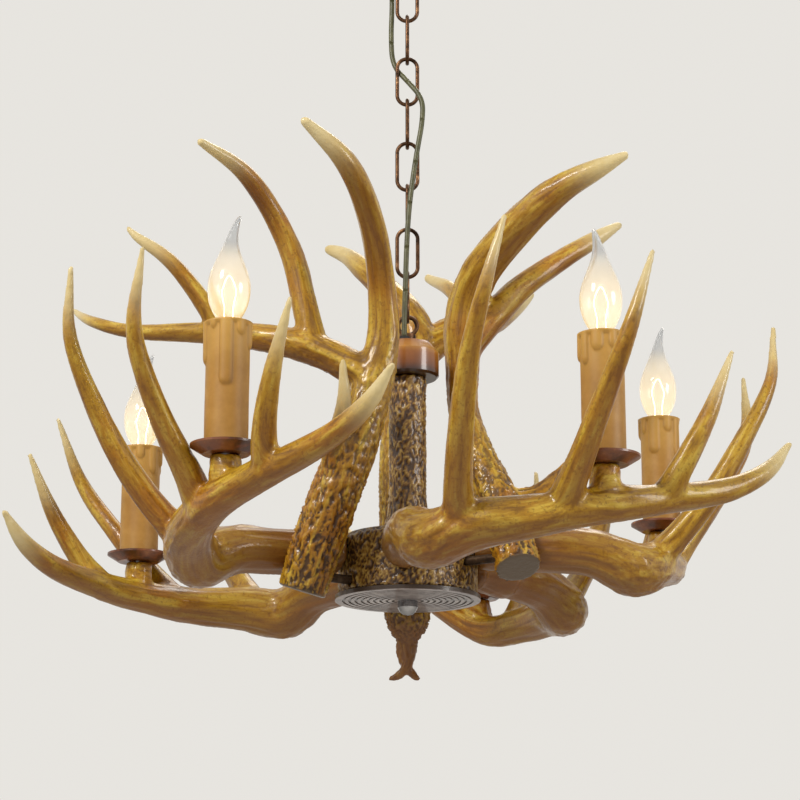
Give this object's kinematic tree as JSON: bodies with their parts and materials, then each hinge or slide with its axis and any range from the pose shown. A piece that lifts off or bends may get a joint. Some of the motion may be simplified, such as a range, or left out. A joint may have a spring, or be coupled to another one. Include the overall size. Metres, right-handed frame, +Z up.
{
  "type": "antler chandelier",
  "caption": "Ceiling light hung on a chain: cast antlers around a bark-textured hub carry upright candle lamps with flame-shaped bulbs, under a ceiling canopy.",
  "frame": {"origin": "centre of the ceiling bracket's top face, against the ceiling", "axes": "+Z up, +Y away from a viewer in front of the lamp, +X to the viewer's right; the bracket's two ceiling holes lie along X"},
  "size_m": [0.6931, 0.697, 0.7527],
  "materials": {
    "zinc_steel": "zinc plated",
    "bronze_paint": "aged bronze paint, satin",
    "aged_bronze": "aged bronze, worn",
    "bush_rubber": "matt",
    "cord_green": "olive PVC cord",
    "cap_brown": "glossy brown lacquer",
    "bark_resin": "cast resin with bark texture",
    "ring_resin": "cast resin with growth rings",
    "bright_chrome": "polished",
    "block_plastic": "ceramic white",
    "antler_resin": "lacquered cast resin, ivory tips",
    "tray_brown": "dark brown lacquer",
    "wax_sleeve": "wax look, matt",
    "holder_plastic": "heat-resistant",
    "bulb_glass": "clear, lit",
    "bulb_base": "nickel-brass screw shell"
  },
  "bodies": {
    "ceiling_rose": {"ceiling_bracket": "zinc_steel", "canopy": "bronze_paint", "canopy_screws": "zinc_steel", "canopy_loop": "aged_bronze", "canopy_cord_bush": "bush_rubber", "power_cord": "cord_green"},
    "link_01": {"chain_link_01": "aged_bronze"},
    "link_02": {"chain_link_02": "aged_bronze"},
    "link_03": {"chain_link_03": "aged_bronze"},
    "link_04": {"chain_link_04": "aged_bronze"},
    "link_05": {"chain_link_05": "aged_bronze"},
    "link_06": {"chain_link_06": "aged_bronze"},
    "link_07": {"chain_link_07": "aged_bronze"},
    "link_08": {"chain_link_08": "aged_bronze"},
    "link_09": {"chain_link_09": "aged_bronze"},
    "bulb_1": {"bulb_base_1": "bulb_base", "bulb_glass_1": "bulb_glass"},
    "bulb_2": {"bulb_base_2": "bulb_base", "bulb_glass_2": "bulb_glass"},
    "bulb_3": {"bulb_base_3": "bulb_base", "bulb_glass_3": "bulb_glass"},
    "bulb_4": {"bulb_base_4": "bulb_base", "bulb_glass_4": "bulb_glass"},
    "bulb_5": {"bulb_base_5": "bulb_base", "bulb_glass_5": "bulb_glass"},
    "lamp": {"antler_bolts": "zinc_steel", "candle_sleeve_1": "wax_sleeve", "candle_sleeve_2": "wax_sleeve", "candle_sleeve_3": "wax_sleeve", "candle_sleeve_4": "wax_sleeve", "candle_sleeve_5": "wax_sleeve", "candle_studs": "zinc_steel", "cap_cord_bush": "bush_rubber", "cap_nut": "bright_chrome", "centre_rod": "zinc_steel", "drip_tray_1": "tray_brown", "drip_tray_2": "tray_brown", "drip_tray_3": "tray_brown", "drip_tray_4": "tray_brown", "drip_tray_5": "tray_brown", "hanging_loop": "aged_bronze", "hub": "bark_resin", "lampholders": "holder_plastic", "lower_antler_1": "antler_resin", "lower_antler_2": "antler_resin", "lower_antler_3": "antler_resin", "lower_antler_4": "antler_resin", "lower_antler_5": "antler_resin", "ring_disc": "ring_resin", "rod_nut_and_washer": "zinc_steel", "stem": "bark_resin", "stem_cap": "cap_brown", "terminal_block": "block_plastic", "upper_antler_1": "antler_resin", "upper_antler_2": "antler_resin", "upper_antler_3": "antler_resin"}
  },
  "joints": [
    {"name": "link_01_swing", "type": "hinge", "parent": "ceiling_rose", "child": "link_01", "pos_m": [0, 0, -0.056], "axis": [1, 0, 0], "range_deg": [-6, 6], "deforming": ["power_cord"]},
    {"name": "link_02_swing", "type": "hinge", "parent": "link_01", "child": "link_02", "pos_m": [0, 0, -0.0982], "axis": [0, 1, 0], "range_deg": [-6, 6], "deforming": ["power_cord"]},
    {"name": "link_03_swing", "type": "hinge", "parent": "link_02", "child": "link_03", "pos_m": [0, 0, -0.1405], "axis": [1, 0, 0], "range_deg": [-6, 6], "deforming": ["power_cord"]},
    {"name": "link_04_swing", "type": "hinge", "parent": "link_03", "child": "link_04", "pos_m": [0, 0, -0.1828], "axis": [0, 1, 0], "range_deg": [-6, 6], "deforming": ["power_cord"]},
    {"name": "link_05_swing", "type": "hinge", "parent": "link_04", "child": "link_05", "pos_m": [0, 0, -0.2251], "axis": [1, 0, 0], "range_deg": [-6, 6], "deforming": ["power_cord"]},
    {"name": "link_06_swing", "type": "hinge", "parent": "link_05", "child": "link_06", "pos_m": [0, 0, -0.2674], "axis": [0, 1, 0], "range_deg": [-6, 6], "deforming": ["power_cord"]},
    {"name": "link_07_swing", "type": "hinge", "parent": "link_06", "child": "link_07", "pos_m": [0, 0, -0.3097], "axis": [1, 0, 0], "range_deg": [-6, 6], "deforming": ["power_cord"]},
    {"name": "link_08_swing", "type": "hinge", "parent": "link_07", "child": "link_08", "pos_m": [0, 0, -0.352], "axis": [0, 1, 0], "range_deg": [-6, 6], "deforming": ["power_cord"]},
    {"name": "link_09_swing", "type": "hinge", "parent": "link_08", "child": "link_09", "pos_m": [0, 0, -0.3943], "axis": [1, 0, 0], "range_deg": [-6, 6], "deforming": ["power_cord"]},
    {"name": "lamp_swing", "type": "hinge", "parent": "link_09", "child": "lamp", "pos_m": [0, 0, -0.4366], "axis": [0, 1, 0], "range_deg": [-6, 6], "deforming": ["power_cord"]},
    {"name": "bulb_1_unscrew", "type": "hinge", "parent": "lamp", "child": "bulb_1", "pos_m": [0.157, -0.218, -0.5214], "axis": [0, 0, 1], "range_deg": [0, 360]},
    {"name": "bulb_2_unscrew", "type": "hinge", "parent": "lamp", "child": "bulb_2", "pos_m": [0.24069, 0.11748, -0.50904], "axis": [0, 0, 1], "range_deg": [0, 360]},
    {"name": "bulb_3_unscrew", "type": "hinge", "parent": "lamp", "child": "bulb_3", "pos_m": [0.07144, 0.26265, -0.54939], "axis": [0, 0, 1], "range_deg": [0, 360]},
    {"name": "bulb_4_unscrew", "type": "hinge", "parent": "lamp", "child": "bulb_4", "pos_m": [-0.25142, 0.10226, -0.54089], "axis": [0, 0, 1], "range_deg": [0, 360]},
    {"name": "bulb_5_unscrew", "type": "hinge", "parent": "lamp", "child": "bulb_5", "pos_m": [-0.14581, -0.22466, -0.51404], "axis": [0, 0, 1], "range_deg": [0, 360]}
  ]
}
